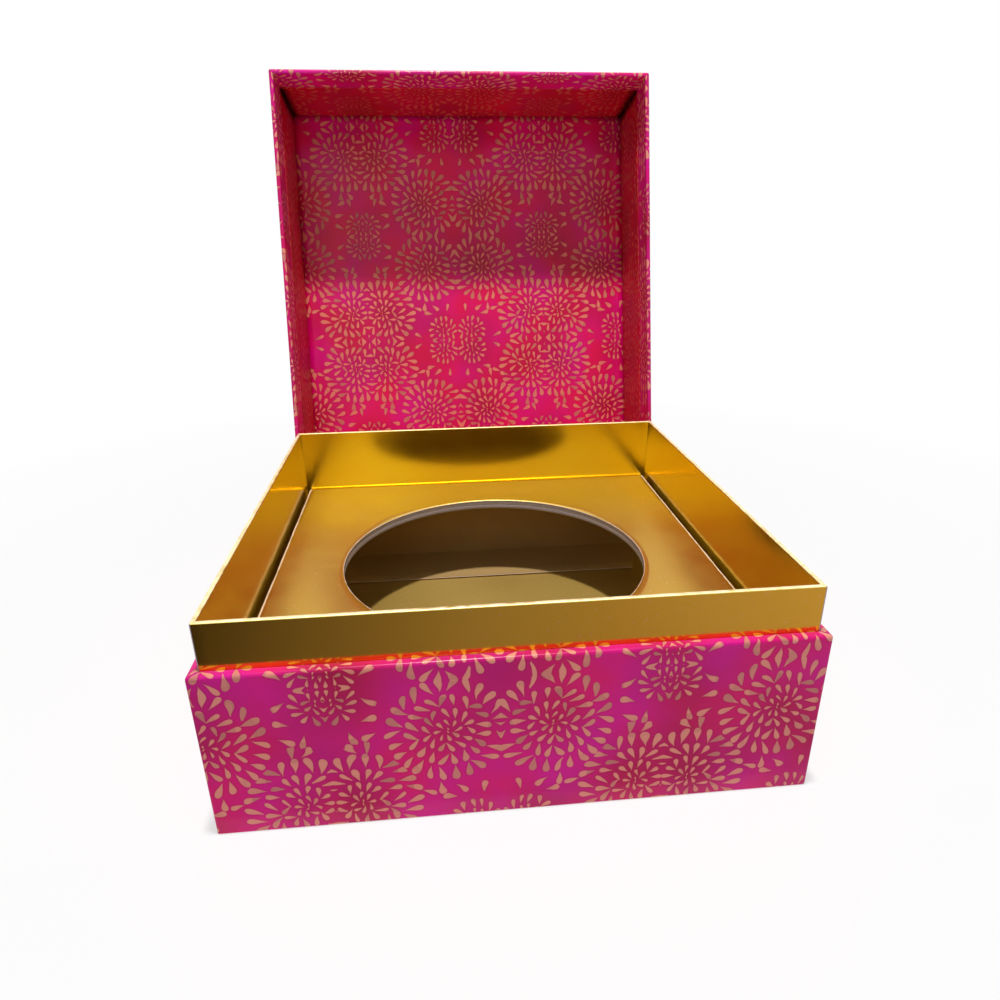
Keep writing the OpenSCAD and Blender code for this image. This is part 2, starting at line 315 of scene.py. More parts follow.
def burst_drops(tree, x, y):
    """Rings of drops round the nearest burst. Gives the depth inside a drop, a random number for each
    drop, and the distance from the burst's centre."""
    past_edge, dx, dy, dist, burst_number = nearest_burst(x, y)
    ring = ring_number(dist)
    ring_r = ((ring + 0.5) * RING_STEP).math("POWER", 1 / RING_POWER)
    pitch = ring_r.math("POWER", 1 - RING_POWER) * (RING_STEP / RING_POWER)
    count = (ring_r * (2 * math.pi / DROP_SPACING) / pitch).math("FLOOR")
    turn = dy.math("ARCTAN2", dx) / (2 * math.pi) + 0.5
    place = turn * count + ring * RING_TURN
    sector = place.math("FLOOR")
    across = (place - sector - 0.5) * (dist / count) * (2 * math.pi)
    along = dist - ring_r
    r1, r2 = random_pair(tree, ring, sector.math("FLOORED_MODULO", count), burst_number)
    lean = (r1 - 0.5) * 0.8
    shift = (r2 - 0.5) * 0.6
    length = (r2 * 0.25 + 0.85) * pitch
    width = (r1 * 0.08 + 0.27) * pitch
    curl = (r1 - r2) * pitch * 0.6
    depth = teardrop(across + lean * along, along + shift, length, width, curl)
    whole = ring.math("LESS_THAN", ring_number(dist - past_edge))
    return show_where(whole, depth), r1, dist


def loose_drops(tree, x, y):
    """Drops between the bursts, one to a cell, turned away from the nearest burst. Gives the depth
    inside a drop and a random number for each drop."""
    voronoi = tree.nodes.new("ShaderNodeTexVoronoi")
    voronoi.voronoi_dimensions = "2D"
    voronoi.inputs["Scale"].default_value = 1.0
    voronoi.inputs["Randomness"].default_value = LOOSE_SPREAD
    tree.links.new(join_axes(tree, x / LOOSE_CELL, y / LOOSE_CELL), voronoi.inputs["Vector"])
    cell_x, cell_y, _ = split_axes(tree, voronoi.outputs["Position"])
    middle_x = cell_x * LOOSE_CELL
    middle_y = cell_y * LOOSE_CELL
    past_edge, dx, dy, _, _ = nearest_burst(middle_x, middle_y)
    r1, r2 = random_pair(tree, middle_x, middle_y, middle_x)
    angle = dy.math("ARCTAN2", dx) + (r1 - 0.5) * 1.5
    cos = angle.math("COSINE")
    sin = angle.math("SINE")
    from_x = x - middle_x
    from_y = y - middle_y
    along = from_x * cos + from_y * sin
    across = from_y * cos - from_x * sin
    depth = teardrop(across, along, length=r2 * 1.4 + 5.0, width=r1 * 0.6 + 1.4, curl=(r2 - 0.5) * 4.6)
    shown = past_edge.math("GREATER_THAN", -LOOSE_OVERLAP)
    for middle, reach in ((middle_x, HALF_REPEAT[0]), (middle_y, HALF_REPEAT[1])):
        shown = shown * middle.math("GREATER_THAN", MIRROR_GAP)
        shown = shown * middle.math("LESS_THAN", reach - MIRROR_GAP)
    return show_where(shown, depth), r2


def printed_paper(name, ground, ground_pink, ground_deep, ink, ink_dull, ink_share):
    """Satin paper printed with bursts of drops on a ground that wanders between three reds."""
    material, tree, shader = new_material(name)
    uv = coordinates(tree, "UV")
    obj = coordinates(tree, "Object")
    sheet_x, sheet_y, _ = split_axes(tree, uv)
    x = (sheet_x / MM + REPEAT_START[0]).math("PINGPONG", HALF_REPEAT[0])
    y = (sheet_y / MM + REPEAT_START[1]).math("PINGPONG", HALF_REPEAT[1])
    x = x + (add_noise(tree, uv, scale=130.0, detail=1.0) - 0.5) * WANDER[0]
    y = y + (add_noise(tree, obj, scale=110.0, detail=1.0) - 0.5) * WANDER[1]
    in_burst, burst_random, burst_dist = burst_drops(tree, x, y)
    in_loose, loose_random = loose_drops(tree, x, y)
    depth = in_burst.math("MAXIMUM", in_loose)
    drops = depth.step(-0.06, softness=0.26)
    halo = depth.step(-0.7, softness=0.8)
    pink = add_noise(tree, uv, scale=34.0).step(0.38, softness=0.26)
    deep = add_noise(tree, uv, scale=21.0, detail=1.0).step(0.42, softness=0.3)
    heart = ((burst_dist * -1.0 + BURST_HEART_R) / BURST_HEART_R).clamp()
    colour = mix_colours(tree, pink, ground, ground_pink)
    colour = mix_colours(tree, (deep * 0.6 + heart * 0.45).clamp(), colour, ground_deep)
    colour = mix_colours(tree, halo * 0.35, colour, ground_deep)
    dull = (burst_random * 0.5 + loose_random * 0.5).step(0.45, softness=0.4) * 0.7
    colour = mix_colours(tree, drops * ink_share, colour, mix_colours(tree, dull, ink, ink_dull))
    tree.links.new(colour, shader.inputs["Base Color"])
    fibre = add_noise(tree, obj, scale=2600.0)
    rough = drops * -0.08 + 0.42 + (fibre - 0.5) * 0.1
    tree.links.new(rough.socket, shader.inputs["Roughness"])
    shader.inputs["Specular IOR Level"].default_value = 0.15
    shader.inputs["Coat Weight"].default_value = 0.25
    shader.inputs["Coat Roughness"].default_value = 0.22
    height = fibre * 0.4 + drops * 0.5 + add_noise(tree, obj, scale=60.0) * 2.0
    set_bump(tree, shader, height, strength=0.35, distance=0.05 * MM)
    return material


# Tints that show where gold paper is speckled or cut, and the cream of the painted highlight along the neck's top
# edge
GOLD_SPECK = (0.95, 0.83, 0.62)
RIM_HIGHLIGHT_CREAM = (0.88, 0.76, 0.52)
RAW_CORE = (0.92, 0.72, 0.66)


def rim_highlight_share(tree, obj, above):
    """Painted highlight: how strongly a patchy cream band above a height stands for the light that the gold's top
    edge catches.
    """
    band_patches = add_noise(tree, obj, scale=350.0, detail=3.0).step(0.25, softness=0.3)
    z = split_axes(tree, obj)[2]
    return z.step(above, softness=0.3 * MM) * (band_patches * 0.5 + 0.4)


def raw_edge_share(tree, obj):
    """1 along the platform card's cut sides and round its hole, where the core shows."""
    x, y, z = split_axes(tree, obj)
    ragged = add_noise(tree, obj, scale=260.0) * (0.6 * MM)
    side = (x.math("ABSOLUTE") + ragged).step(CARD_HIGH.x - 0.75 * MM, softness=0.25 * MM)
    dist = (x * x + y * y).math("SQRT")
    hole = (dist * -1.0 + ragged).step(-HOLE_R - 0.05 * MM, softness=0.25 * MM)
    on_top = z.step(CARD_HIGH.z - 3 * MM, softness=0.1 * MM)
    return side.math("MAXIMUM", hole) * on_top


def gold_paper(name, gold, gold_deep, roughness, unevenness, grain_scale, speckle, metallic=1.0,
               highlight_above=None, raw_edges=False):
    """Metallised paper: a mirror or satin gold that wanders in tint, over slightly uneven board."""
    material, tree, shader = new_material(name)
    obj = coordinates(tree, "Object")
    wide = add_noise(tree, obj, scale=14.0)
    colour = mix_colours(tree, wide.step(0.35, softness=0.3), gold, gold_deep)
    specks = add_noise(tree, obj, scale=900.0, detail=3.0).step(0.66, softness=0.06)
    colour = mix_colours(tree, specks * speckle, colour, GOLD_SPECK)
    rough = add_noise(tree, obj, scale=55.0, detail=3.0) * (roughness * 0.5) + roughness * 0.75
    if highlight_above is not None:
        # Painted highlight: a patchy cream band along the top edge, also made rougher
        highlight_band = rim_highlight_share(tree, obj, highlight_above)
        colour = mix_colours(tree, highlight_band, colour, RIM_HIGHLIGHT_CREAM)
        rough = rough + highlight_band * 0.5
    if raw_edges:
        raw = raw_edge_share(tree, obj)
        colour = mix_colours(tree, raw * 0.85, colour, RAW_CORE)
        rough = rough + raw * 0.4
        tree.links.new((raw * (-0.8 * metallic) + metallic).socket, shader.inputs["Metallic"])
    else:
        shader.inputs["Metallic"].default_value = metallic
    tree.links.new(colour, shader.inputs["Base Color"])
    tree.links.new(rough.socket, shader.inputs["Roughness"])
    grain = add_noise(tree, obj, grain_scale, detail=3.0)
    height = grain * 0.5 + add_noise(tree, obj, scale=90.0) * 2.0
    set_bump(tree, shader, height, strength=unevenness, distance=0.05 * MM)
    return material


def greyboard(name, light, dark):
    """Raw recycled board: matt, flecked, with its plies showing as thin level lines at a cut edge."""
    material, tree, shader = new_material(name)
    obj = coordinates(tree, "Object")
    z = split_axes(tree, obj)[2]
    ply_t = 0.8 * MM
    plies = (z * (2 * math.pi / ply_t)).math("SINE") * 0.5 + 0.5
    flecks = add_noise(tree, obj, scale=1500.0, detail=4.0, roughness=0.7)
    share = (plies * 0.5 + flecks * 0.9 - 0.25).clamp()
    tree.links.new(mix_colours(tree, share, dark, light), shader.inputs["Base Color"])
    tree.links.new((flecks * 0.15 + 0.8).socket, shader.inputs["Roughness"])
    set_bump(tree, shader, flecks + plies * 0.6, strength=0.6, distance=0.12 * MM)
    return material


def matt_paper(name, light, dark, fibre_scale):
    """Plain uncoated paper with a cloudy tint and fibres."""
    material, tree, shader = new_material(name)
    obj = coordinates(tree, "Object")
    fibre = add_noise(tree, obj, fibre_scale, detail=4.0, roughness=0.65)
    cloud = add_noise(tree, obj, scale=25.0)
    share = (fibre * 0.6 + cloud * 0.6 - 0.1).clamp()
    tree.links.new(mix_colours(tree, share, dark, light), shader.inputs["Base Color"])
    tree.links.new((fibre * 0.2 + 0.7).socket, shader.inputs["Roughness"])
    set_bump(tree, shader, fibre, strength=0.5, distance=0.06 * MM)
    return material


PRINT = printed_paper(
    "printed_paper",
    ground=(0.80, 0.0, 0.17), ground_pink=(0.74, 0.0, 0.30), ground_deep=(0.40, 0.0, 0.035),
    ink=(0.88, 0.34, 0.24), ink_dull=(0.50, 0.17, 0.15), ink_share=0.90)
# Painted shade: a darker, redder copy of the same print, with fainter drops, for the lid's inner walls
SHADED_LINING_PRINT = printed_paper(
    "printed_lining",
    ground=(0.66, 0.0, 0.03), ground_pink=(0.55, 0.0, 0.05), ground_deep=(0.34, 0.0, 0.012),
    ink=(0.76, 0.16, 0.08), ink_dull=(0.5, 0.06, 0.05), ink_share=0.55)
# Painted light: a redder copy of the same print for the lid's inner panel, standing for red light bounced off the
# lid's walls
RED_BOUNCE_PANEL_PRINT = printed_paper(
    "printed_panel_painted_bounce",
    ground=(0.84, 0.0, 0.10), ground_pink=(0.78, 0.0, 0.24), ground_deep=(0.42, 0.0, 0.02),
    ink=(0.88, 0.30, 0.19), ink_dull=(0.50, 0.16, 0.12), ink_share=0.85)
# The neck's foil carries a painted highlight along its top edge
FOIL = gold_paper(
    "gold_foil", gold=(0.78, 0.60, 0.045), gold_deep=(0.75, 0.54, 0.035),
    roughness=0.18, unevenness=0.35, grain_scale=800.0, speckle=0.15,
    highlight_above=NECK_HIGH.z - 0.35 * MM)
CARD = gold_paper(
    "gold_card", gold=(0.75, 0.52, 0.10), gold_deep=(0.70, 0.44, 0.08),
    roughness=0.38, unevenness=0.4, grain_scale=1800.0, speckle=0.5, raw_edges=True)
LINER = gold_paper(
    "gold_floor", gold=(0.54, 0.36, 0.09), gold_deep=(0.43, 0.27, 0.06),
    roughness=0.5, unevenness=0.4, grain_scale=1500.0, speckle=0.3, metallic=0.35)
BOARD = greyboard("greyboard", light=(0.60, 0.54, 0.58), dark=(0.34, 0.28, 0.32))
CARD_BACK = matt_paper("card_back", light=(0.50, 0.31, 0.11), dark=(0.33, 0.20, 0.065), fibre_scale=1200.0)
CARD_CORE = matt_paper("card_core", light=(0.90, 0.76, 0.66), dark=(0.72, 0.56, 0.48), fibre_scale=1600.0)
PLAIN = matt_paper("plain_paper", light=(0.80, 0.76, 0.68), dark=(0.66, 0.61, 0.53), fibre_scale=1400.0)
TAPE = matt_paper("stay_tape", light=(0.55, 0.38, 0.20), dark=(0.42, 0.27, 0.13), fibre_scale=900.0)


# Mesh helpers
def extent(low, high):
    """The width and the depth of a box."""
    return high.x - low.x, high.y - low.y


def soft_noise(*place):
    """Smooth noise from 0 to 1."""
    return 0.5 + 0.5 * noise.noise(Vector(place))


def dent_at(place, depth, seed):
    """A smooth dent from 0 to depth."""
    shift = Vector((seed, seed * 2.3, seed * 3.1))
    return depth * soft_noise(*(Vector(place) * DENT_SCALE + shift))


def add_flat_face(bm, layer, corners):
    """A smooth face that shows the print as it lies on the flat sheet."""
    face = bm.faces.new(corners)
    face.smooth = True
    for loop in face.loops:
        loop[layer].uv = loop.vert.co.xy


def push_in(x, y, w, d, pull):
    """A point near the edge of a w by d rectangle, moved by pull away from the nearest side."""
    aim = Vector((x / w, y / d))
    if abs(aim.x) > abs(aim.y):
        return x - math.copysign(1, x) * pull, y
    return x, y - math.copysign(1, y) * pull


def arc(centre_inset, centre_z, r, start, end, steps):
    """Points (inset, z) along an arc, with angles in degrees."""
    points = []
    for i in range(steps + 1):
        a = math.radians(start + (end - start) * i / steps)
        points.append((centre_inset + r * math.cos(a), centre_z + r * math.sin(a)))
    return points


def divide(a, b, steps):
    """Points along a straight line from a to b."""
    return [(a[0] + (b[0] - a[0]) * i / steps, a[1] + (b[1] - a[1]) * i / steps) for i in range(steps + 1)]


def with_run(points, start=0.0):
    """Adds the distance along the sheet to each (inset, z) point."""
    run = start
    last = points[0]
    section = []
    for point in points:
        run += math.dist(point, last)
        section.append((*point, run))
        last = point
    return section


def ring_points(w, d, r, inset, per_side, per_corner=6):
    """Points (x, y, side) round a rounded rectangle, inset from w by d. Side 0 is the front, and the
    sides count anticlockwise from there as seen from above."""
    w -= 2 * inset
    d -= 2 * inset
    r = max(r - inset, LEAST_CORNER_R)
    corners = ((w / 2 - r, -d / 2 + r, -90), (w / 2 - r, d / 2 - r, 0),
               (-w / 2 + r, d / 2 - r, 90), (-w / 2 + r, -d / 2 + r, 180))
    points = []
    for k, (x, y, start) in enumerate(corners):
        next_side = (k + 1) % 4
        next_x, next_y, _ = corners[next_side]
        for i in range(per_corner + 1):
            a = math.radians(start + 90 * i / per_corner)
            side = k if i < per_corner / 2 else next_side
            points.append((x + r * math.cos(a), y + r * math.sin(a), side))
        end = math.radians(start + 90)
        first = Vector((x + r * math.cos(end), y + r * math.sin(end)))
        last = Vector((next_x + r * math.cos(end), next_y + r * math.sin(end)))
        for i in range(1, per_side):
            p = first.lerp(last, i / per_side)
            points.append((p.x, p.y, next_side))
    return points


def sheet_uv(x, y, side, run):
    """Place on the flat sheet: the middle panel is drawn as it lies, and each wall folds out from it."""
    if side == 0:
        return (x, -BOX_D / 2 - run)
    if side == 1:
        return (BOX_W / 2 + run, y)
    if side == 2:
        return (x, BOX_D / 2 + run)
    return (-BOX_W / 2 - run, y)


def sweep(w, d, r, section, per_side=40, dent=0.0, lap=0.0, seed=0.0, cap=False):
    """Runs a section of (inset, z, run) round a rounded rectangle, dented towards the middle, and with
    the right and left walls set further in by lap. A capped sheet is closed by its last ring, and only
    its outer walls are dented. Points of the flat panel have a run of None. Returns a bmesh with UVs."""
    bm = bmesh.new()
    layer = bm.loops.layers.uv.new("UVMap")
    rings = []
    marks = []
    for inset, z, run in section:
        ring = []
        dented = not cap or inset <= EDGE_R + SAME_PLACE
        for x, y, side in ring_points(w, d, r, inset, per_side):
            marks.append((x, y, side, run))
            if dented:
                pull = dent_at((x, y, z), dent, seed) + (lap if side in (1, 3) else 0.0)
                x, y = push_in(x, y, w, d, pull)
            ring.append(bm.verts.new((x, y, z)))
        rings.append(ring)
    bm.verts.index_update()
    total = len(rings[0])
    for a, b in zip(rings, rings[1:]):
        for i in range(total):
            j = (i + 1) % total
            face = bm.faces.new((a[i], a[j], b[j], b[i]))
            face.smooth = True
            side = marks[a[j].index][2]
            for loop in face.loops:
                x, y, _, run = marks[loop.vert.index]
                loop[layer].uv = (x, y) if run is None else sheet_uv(x, y, side, run)
    if cap:
        add_flat_face(bm, layer, rings[-1])
    return bm


def grid_sheet(w, d, z, steps, lift, seed):
    """A flat sheet as a square grid, with smooth low waves."""
    bm = bmesh.new()
    layer = bm.loops.layers.uv.new("UVMap")
    rows = []
    for j in range(steps + 1):
        row = []
        for i in range(steps + 1):
            x = w * (i / steps - 0.5)
            y = d * (j / steps - 0.5)
            wave = lift * soft_noise(x * SHEET_WAVE_SCALE, y * SHEET_WAVE_SCALE, seed)
            row.append(bm.verts.new((x, y, z + wave)))
        rows.append(row)
    for near, far in zip(rows, rows[1:]):
        for i in range(steps):
            add_flat_face(bm, layer, (near[i], near[i + 1], far[i + 1], far[i]))
    return bm


def holed_panel(w, d, hole_r, z_at, rows, wobble, seed):
    """A rectangle with a round hole, as rings of points, with its two sides wobbling inward. z_at gives
    the height of a point. Returns the bmesh and its outer ring."""
    bm = bmesh.new()
    layer = bm.loops.layers.uv.new("UVMap")
    angles = {round(2 * math.pi * k / HOLE_POINTS, 9) for k in range(HOLE_POINTS)}
    for sign_x in (-1, 1):
        for sign_y in (-1, 1):
            angles.add(round(math.atan2(sign_y * d, sign_x * w) % (2 * math.pi), 9))
    angles = sorted(angles)
    rings = []
    for k in range(rows + 1):
        ring = []
        for a in angles:
            cos = math.cos(a)
            sin = math.sin(a)
            reach = min(w / 2 / max(abs(cos), 1e-9), d / 2 / max(abs(sin), 1e-9))
            dist = hole_r + (reach - hole_r) * k / rows
            x = dist * cos
            y = dist * sin
            if k == rows and abs(abs(x) - w / 2) < SAME_PLACE:
                x -= math.copysign(wobble * soft_noise(y * SIDE_WOBBLE_SCALE, seed, x * 9), x)
            ring.append(bm.verts.new((x, y, z_at(x, y))))
        rings.append(ring)
    for a, b in zip(rings, rings[1:]):
        for i in range(len(angles)):
            j = (i + 1) % len(angles)
            add_flat_face(bm, layer, (a[i], b[i], b[j], a[j]))
    return bm, rings[-1]


def make(name, bm, material, nodes, body=None, thickness=None, offset=-1.0, place=None,
         back=None, rim=None, bevel=None):
    """Turns a bmesh into a finished piece. A piece without a body is blended afterwards."""
    bmesh.ops.remove_doubles(bm, verts=bm.verts, dist=MERGE_DIST)
    bmesh.ops.recalc_face_normals(bm, faces=bm.faces)
    mesh = bpy.data.meshes.new(name)
    bm.to_mesh(mesh)
    bm.free()
    if place is not None:
        mesh.transform(place)
    obj = bpy.data.objects.new(name, mesh)
    bpy.context.scene.collection.objects.link(obj)
    mesh.materials.append(material)
    if thickness:
        solid = obj.modifiers.new("thickness", "SOLIDIFY")
        solid.thickness = thickness
        solid.offset = offset
        if back:
            mesh.materials.append(back)
            mesh.materials.append(rim)
            solid.material_offset = 1
            solid.material_offset_rim = 2
    if bevel:
        soft = obj.modifiers.new("soft_edges", "BEVEL")
        soft.width = bevel
        soft.segments = 2
        soft.limit_method = "ANGLE"
        soft.angle_limit = math.radians(50)
    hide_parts(*nodes)
    if body:
        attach(obj, body)
    return obj


# Pieces of the base
def build_base_wrap():
    low = BASE_LOW.z
    points = divide((TURN_UNDER, low), (UNDER_FOLD_R + ROW_GAP, low), steps=4)
    points += arc(UNDER_FOLD_R, low + UNDER_FOLD_R, UNDER_FOLD_R, 270, 180, steps=3)
    points += divide((0, low + UNDER_FOLD_R + 2 * ROW_GAP), (0, BOX_H - EDGE_R - ROW_GAP), steps=22)
    points += arc(EDGE_R, BOX_H - EDGE_R, EDGE_R, 180, 90, steps=6)
    points += arc(BASE_WALL_T - BASE_RIM_R, BOX_H - BASE_RIM_R, BASE_RIM_R, 90, 0, steps=4)
    points += divide((BASE_WALL_T, BOX_H - RIM_ROW), (BASE_WALL_T, BOX_H - TURN_IN), steps=5)
    section = with_run(points, start=-TURN_UNDER)
    bm = sweep(BOX_W, BOX_D, EDGE_R, section, dent=WRAP_DENT, lap=LAP_T, seed=1.0)
    make("base_printed_wrap", bm, PRINT, ["base_wrap"], "base", thickness=WRAP_T)


def build_bottom_sheet():
    w, d = extent(BOTTOM_LOW, BOTTOM_HIGH)
    bm = grid_sheet(w, d, z=0.02 * MM, steps=40, lift=0.1 * MM, seed=6.0)
    make("bottom_plain_sheet", bm, PLAIN, ["base_bottom_paper"], "base",
         thickness=BOTTOM_T, offset=1.0)


def build_floor_liner():
    w, d = extent(LINER_LOW, LINER_HIGH)
    bm = grid_sheet(w, d, z=LINER_LOW.z + 0.05 * MM, steps=40, lift=0.15 * MM, seed=8.0)
    make("floor_gold_sheet", bm, LINER, ["base_floor_liner"], "base", thickness=LINER_T)


def build_neck_foil():
    w, d = extent(NECK_LOW, NECK_HIGH)
    r = NECK_TOP_R
    top = NECK_HIGH.z
    straight_top = top - r - 0.1 * MM
    points = divide((NECK_WALL_T, NECK_LOW.z), (NECK_WALL_T, straight_top), steps=24)
    points += arc(NECK_WALL_T - r, top - r, r, 0, 90, steps=4)
    points += arc(r, top - r, r, 90, 180, steps=4)
    points += divide((0, straight_top), (0, BOX_H - FOIL_HIDDEN_H), steps=12)
    bm = sweep(w, d, NECK_CORNER_R, with_run(points), per_side=60, dent=FOIL_DENT, seed=14.0)
    make("neck_gold_foil", bm, FOIL, ["neck_foil"], "base", thickness=FOIL_T)


def card_top_at(x, y):
    """The height of the platform's card, which waves slightly."""
    wave = noise.noise(Vector((x * CARD_WAVE_SCALE, y * CARD_WAVE_SCALE, 4.0)))
    return CARD_HIGH.z + CARD_WAVE * wave - CARD_SINK


def leg_section(d):
    """The card past the end of its flat top, as (y, z): the fold, the leg, the foot's fold, the flange."""
    foot = CARD_LOW.z
    section = []
    for i in range(1, FOLD_STEPS + 1):
        a = math.radians(90 - 90 * i / FOLD_STEPS)
        section.append((d / 2 - FOLD_R + FOLD_R * math.cos(a), CARD_HIGH.z - FOLD_R + FOLD_R * math.sin(a)))
    section += [(d / 2, foot + height) for height in (*LEG_ROW_HEIGHTS, FOOT_FOLD_R)]
    bend_y = d / 2 - FOOT_FOLD_R
    for i in range(1, FOOT_STEPS + 1):
        a = math.radians(-90 * i / FOOT_STEPS)
        section.append((bend_y + FOOT_FOLD_R * math.cos(a), foot + FOOT_FOLD_R + FOOT_FOLD_R * math.sin(a)))
    for i in range(1, FLANGE_STEPS + 1):
        share = i / FLANGE_STEPS
        section.append((bend_y - (FLANGE_D - FOOT_FOLD_R) * share, foot + FLANGE_LIFT * share * share))
    return section


def fold_down(bm, edge, section, half_w):
    """Carries the card on from an edge of its top along a section, tapering the flange."""
    previous = edge
    for n, (y, z) in enumerate(section, start=1):
        flange_row = max(0, n + FLANGE_STEPS - len(section))
        narrow = FLANGE_TAPER * flange_row / FLANGE_STEPS
        row = [bm.verts.new((vert.co.x * (1 - narrow / half_w), y, z)) for vert in edge]
        for i in range(len(edge) - 1):
            face = bm.faces.new((previous[i], previous[i + 1], row[i + 1], row[i]))
            face.smooth = True
        previous = row


def build_platform_card():
    w, d = extent(CARD_LOW, CARD_HIGH)
    flat_d = d - 2 * FOLD_R
    bm, ring = holed_panel(w, flat_d, HOLE_R, card_top_at, rows=14, wobble=CARD_WOBBLE, seed=2.0)
    for sign in (-1, 1):
        edge = [vert for vert in ring if abs(vert.co.y - sign * flat_d / 2) < SAME_PLACE]
        edge.sort(key=lambda vert: vert.co.x)
        section = [(sign * y, z) for y, z in leg_section(d)]
        fold_down(bm, edge, section, w / 2)
    make("platform_card", bm, CARD, ["insert_card"], "base", thickness=CARD_T,
         back=CARD_BACK, rim=CARD_CORE)


def build_platform_board(name, node, low, high, seed):
    w, d = extent(low, high)
    bm, _ = holed_panel(w - 2 * BOARD_SETBACK, d, HOLE_R + BOARD_HOLE_GAP, lambda x, y: high.z,
                        rows=6, wobble=BOARD_WOBBLE, seed=seed)
    make(name, bm, BOARD, [node], "base", thickness=high.z - low.z, bevel=BOARD_BEVEL)


# Pieces of the lid: each is drawn on the closed lid, and then turned with it
OPEN_LID = Matrix.Translation(HINGE) @ Matrix.Rotation(-LID_OPEN, 4, "X") @ Matrix.Translation(-HINGE)


def build_lid_wrap():
    top = LID_Z + LID_H
    points = divide((LID_WALL_T, LID_Z + LID_TURN_IN), (LID_WALL_T, LID_Z + RIM_ROW), steps=5)
    points += arc(LID_WALL_T - LID_RIM_R, LID_Z + LID_RIM_R, LID_RIM_R, 0, -90, steps=4)
    points += arc(EDGE_R, LID_Z + EDGE_R, EDGE_R, 270, 180, steps=6)
    points += divide((0, LID_Z + EDGE_R + ROW_GAP), (0, top - EDGE_R - ROW_GAP), steps=20)
    points += arc(EDGE_R, top - EDGE_R, EDGE_R, 180, 90, steps=6)
    wall = with_run(points)
    run_at_top = wall[-1][2]
    section = [(inset, z, run_at_top - run) for inset, z, run in wall]
    panel_reach = BOX_W / 2 - 2 * EDGE_R
    for k in range(1, LID_PANEL_RINGS + 1):
        section.append((EDGE_R + panel_reach * k / LID_PANEL_RINGS, top, None))
    bm = sweep(BOX_W, BOX_D, EDGE_R, section, dent=WRAP_DENT, lap=LAP_T, seed=5.0, cap=True)
    make("lid_printed_wrap", bm, PRINT, ["lid_wrap"], "lid", thickness=WRAP_T,
         place=OPEN_LID)


def build_lid_wall_lining():
    start = LID_Z + LID_TURN_IN - LINING_LAP
    points = divide((LID_WALL_T, start), (LID_WALL_T, LID_PANEL_Z), steps=16)
    section = with_run(points, start=LINING_PRINT_START)
    bm = sweep(BOX_W, BOX_D, LINING_CORNER_R, section, dent=-LINING_DENT, seed=9.0)
    # The lid's walls take the painted-shade copy of the print
    make("lid_wall_lining_band", bm, SHADED_LINING_PRINT, ["lid_wall_lining"], "lid",
         thickness=PAPER_T, place=OPEN_LID)


def build_lid_panel_lining():
    w = BOX_W - 2 * LID_WALL_T
    bm = grid_sheet(w, w, LID_PANEL_Z, steps=60, lift=-PANEL_SAG, seed=3.0)
    for vert in bm.verts:
        from_edge = w / 2 - max(abs(vert.co.x), abs(vert.co.y))
        vert.co.z -= PANEL_EDGE_DIP * max(0.0, 1 - from_edge / PANEL_EDGE_W) ** 2
    # The panel takes the redder painted-light copy of the print
    make("lid_panel_lining_sheet", bm, RED_BOUNCE_PANEL_PRINT, ["lid_panel_lining"], "lid",
         thickness=PAPER_T, place=OPEN_LID)


# The hinge strip, which belongs to both
def strip_rows(base_dir, lid_dir):
    """Rows of the strip from the end of its base leaf to the end of its lid leaf, as (place, run)."""
    rows = [(base_dir * run, -run) for run in reversed(LEAF_ROWS)]
    for i in range(STRIP_BEND_STEPS + 1):
        t = i / STRIP_BEND_STEPS
        place = base_dir * (STRIP_BEND * (1 - t) ** 2) + lid_dir * (STRIP_BEND * t ** 2)
        rows.append((place, STRIP_BEND * (2 * t - 1)))
    rows += [(lid_dir * run, run) for run in LEAF_ROWS]
    return rows


def outward(rows, j):
    """The direction that faces away from the box at row j."""
    before = rows[max(j - 1, 0)][0]
    after = rows[min(j + 1, len(rows) - 1)][0]
    step = after - before
    return Vector((0, step.z, -step.y)).normalized()


def strip_grid(bm, rows, depth, uv_of):
    """One face of the strip as a grid of points, depth behind its printed face."""
    half_w = (STRIP_HIGH.x - STRIP_LOW.x) / 2
    grid = []
    for j, (place, run) in enumerate(rows):
        half = half_w - (LEAF_TAPER if abs(run) > LEAF_H - SAME_PLACE else 0.0)
        centre = HINGE + place - outward(rows, j) * depth
        line = []
        for i in range(STRIP_COLUMNS + 1):
            x = half * (2 * i / STRIP_COLUMNS - 1)
            vert = bm.verts.new((x, centre.y, centre.z))
            uv_of[vert] = (x, STRIP_PRINT_START + run)
            line.append(vert)
        grid.append(line)
    return grid


def build_hinge_strip():
    """One strip of printed paper, pasted to the base's back and to the lid's, bent at the crease."""
    base_dir = Vector((0, 0, -1))
    lid_dir = Vector((0, math.sin(LID_OPEN), math.cos(LID_OPEN)))
    rows = strip_rows(base_dir, lid_dir)
    bm = bmesh.new()
    layer = bm.loops.layers.uv.new("UVMap")
    uv_of = {}
    outer = strip_grid(bm, rows, 0.0, uv_of)
    inner = strip_grid(bm, rows, STRIP_T, uv_of)
    last = len(rows) - 1
    broad = [(grid[j][i], grid[j][i + 1], grid[j + 1][i + 1], grid[j + 1][i])
             for grid in (outer, inner) for j in range(last) for i in range(STRIP_COLUMNS)]
    edges =[(outer[j][i], outer[j + 1][i], inner[j + 1][i], inner[j][i])
             for j in range(last) for i in (0, STRIP_COLUMNS)]
    edges += [(outer[j][i], outer[j][i + 1], inner[j][i + 1], inner[j][i])
              for j in (0, last) for i in range(STRIP_COLUMNS)]
    for quads, smooth in ((broad, True), (edges, False)):
        for corners in quads:
            face = bm.faces.new(corners)
            face.smooth = smooth
            for loop in face.loops:
                loop[layer].uv = uv_of[loop.vert]
    obj = make("paper_hinge_strip", bm, PRINT, ["hinge_strip_base_leaf", "hinge_strip_lid_leaf"])
    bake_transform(obj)


build_base_wrap()
build_lid_wrap()
